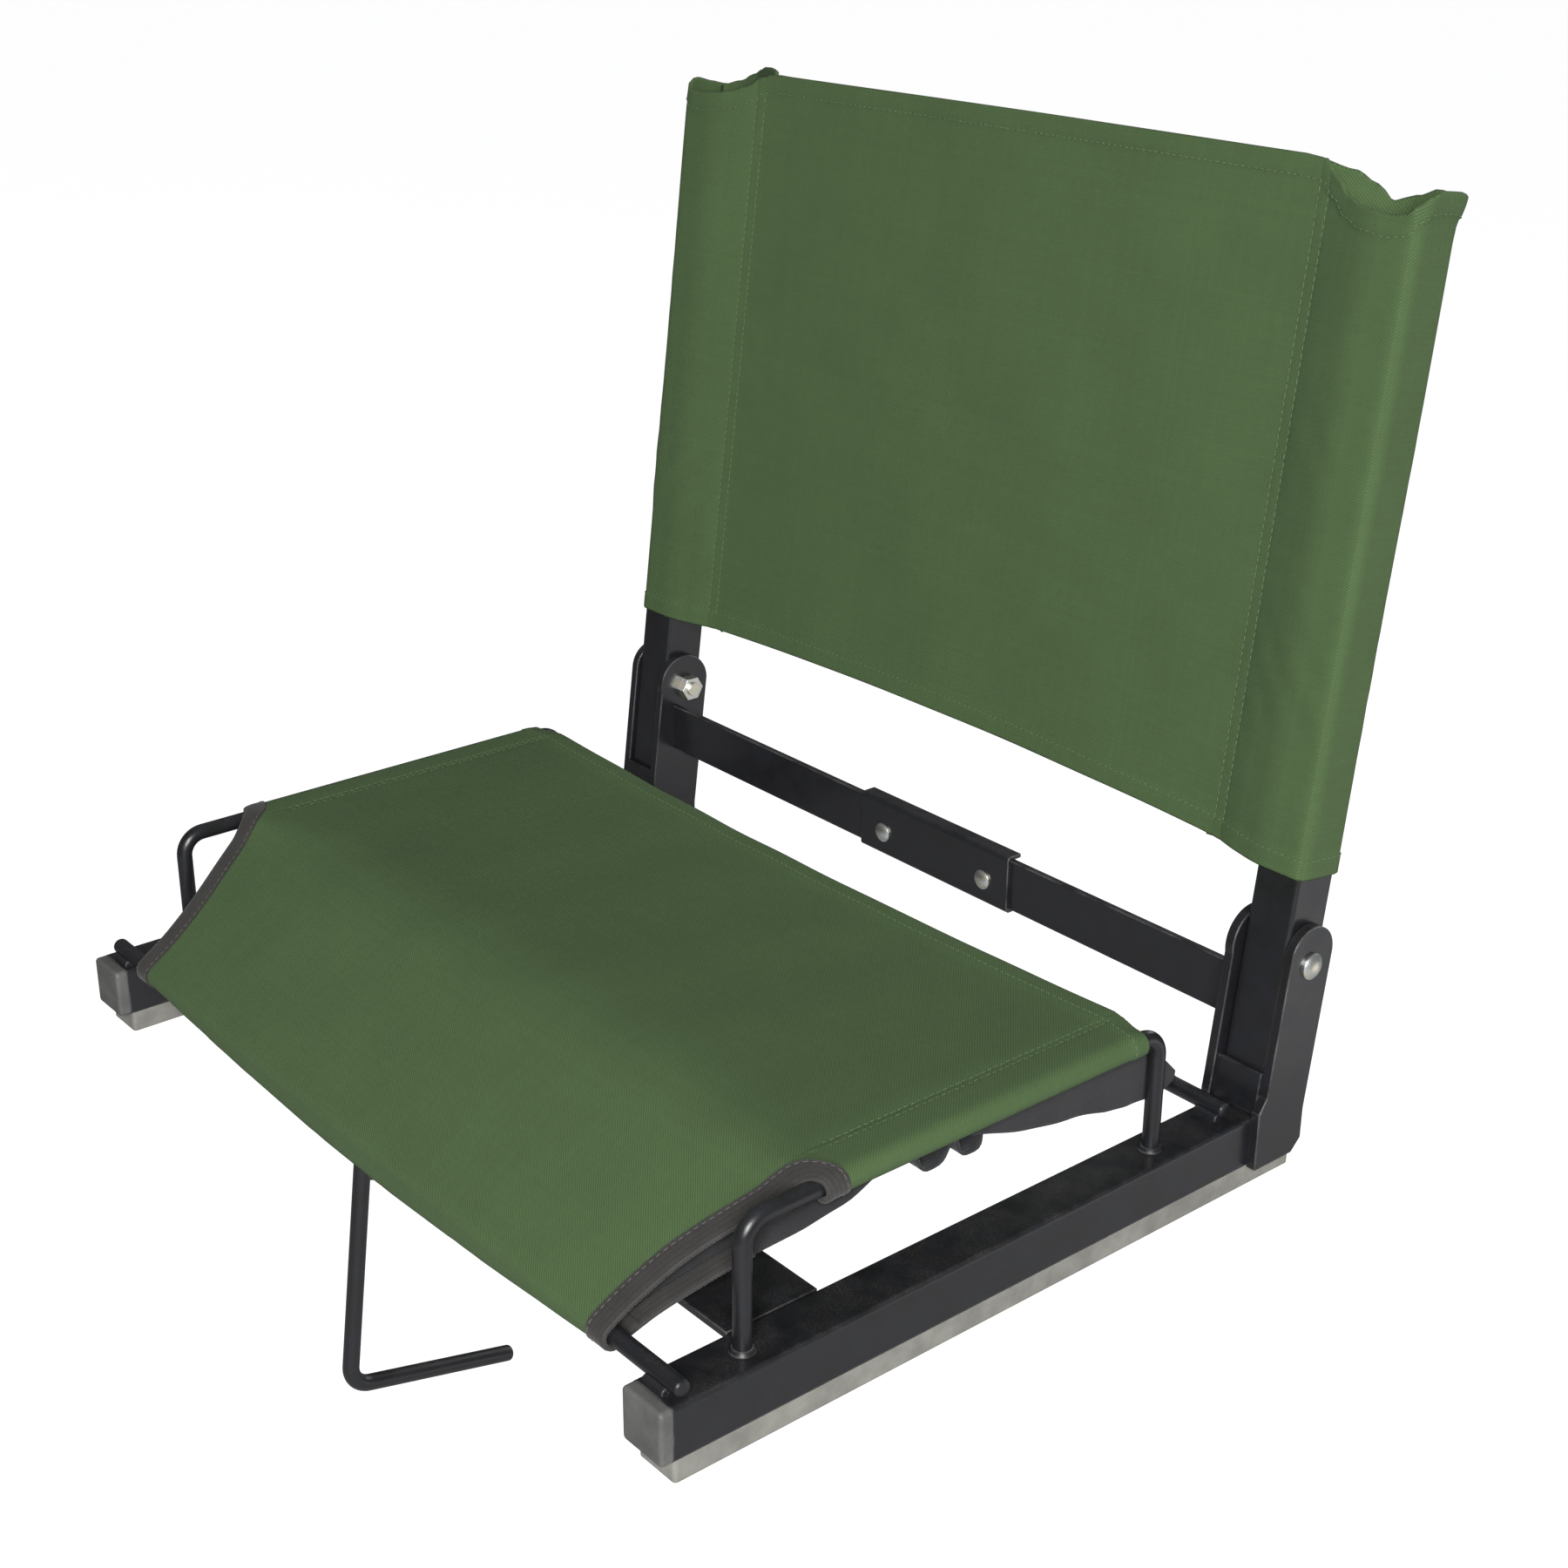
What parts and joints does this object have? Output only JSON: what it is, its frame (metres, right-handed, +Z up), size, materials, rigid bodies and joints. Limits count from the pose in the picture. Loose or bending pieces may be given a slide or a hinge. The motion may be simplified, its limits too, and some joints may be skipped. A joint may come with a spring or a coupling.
{
  "type": "stadium seat",
  "caption": "Folding bench seat: two rails on grip strips, a canvas seat slung on wire bridges, a hinged canvas backrest on square tubes and a swinging hook that catches the bench edge.",
  "frame": {"origin": "middle of the bench top, level with the undersides of the grip strips and midway along and between the rails", "axes": "+X to the right seen from the front, +Y to the back of the seat, +Z up"},
  "size_m": [0.5072, 0.4285, 0.5773],
  "materials": {
    "black_steel": "satin black powder coat",
    "zinc_steel": "bright zinc plate",
    "plug_plastic": "moulded dark grey",
    "grip_rubber": "matt warm grey",
    "green_canvas": "plain weave, matt",
    "binding_tape": "ribbed woven tape",
    "dark_cloth": "plain weave, matt",
    "webbing": "woven webbing",
    "buckle_plastic": "moulded black",
    "bush_plastic": "natural nylon"
  },
  "bodies": {
    "frame": {"rail_left": "black_steel", "rail_right": "black_steel", "front_cap_left": "plug_plastic", "front_cap_right": "plug_plastic", "rear_plug_left": "plug_plastic", "rear_plug_right": "plug_plastic", "grip_strip_left": "grip_rubber", "grip_strip_right": "grip_rubber", "front_cross_rod": "black_steel", "rear_cross_rod": "black_steel", "cross_plate": "black_steel", "seat_wire_left": "black_steel", "seat_wire_right": "black_steel", "bracket_outer_left": "black_steel", "bracket_outer_right": "black_steel", "bracket_inner_left": "black_steel", "bracket_inner_right": "black_steel", "back_stop_left": "black_steel", "back_stop_right": "black_steel", "pivot_bolt_left": "zinc_steel", "pivot_bolt_right": "zinc_steel", "pivot_nut_left": "zinc_steel", "pivot_nut_right": "zinc_steel", "back_crossbar_left": "black_steel", "back_crossbar_right": "black_steel", "splice_channel": "black_steel", "splice_rivets": "zinc_steel", "seat_canvas": "green_canvas", "seat_binding_left": "binding_tape", "seat_binding_right": "binding_tape", "under_panel": "dark_cloth", "under_binding_left": "binding_tape", "under_binding_right": "binding_tape", "side_flap_left": "dark_cloth", "side_flap_right": "dark_cloth", "under_strap": "webbing", "strap_buckle": "buckle_plastic", "strap_tail": "webbing", "hook_hanger": "black_steel", "hook_pin": "black_steel", "weld_beads": "black_steel"},
    "backrest": {"back_tube_left": "black_steel", "back_tube_right": "black_steel", "tube_top_plug_left": "plug_plastic", "tube_top_plug_right": "plug_plastic", "tube_foot_plug_left": "plug_plastic", "tube_foot_plug_right": "plug_plastic", "pivot_bushes_left": "bush_plastic", "pivot_bushes_right": "bush_plastic", "back_canvas": "green_canvas"},
    "hook": {"bench_hook": "black_steel"}
  },
  "joints": [
    {"name": "backrest_fold", "type": "hinge", "parent": "frame", "child": "backrest", "pos_m": [0, 0.177, 0.109], "axis": [1, 0, 0], "range_deg": [0, 92]},
    {"name": "hook_swing", "type": "hinge", "parent": "frame", "child": "hook", "pos_m": [0, -0.169, 0.024], "axis": [1, 0, 0], "range_deg": [-20, 84]}
  ]
}
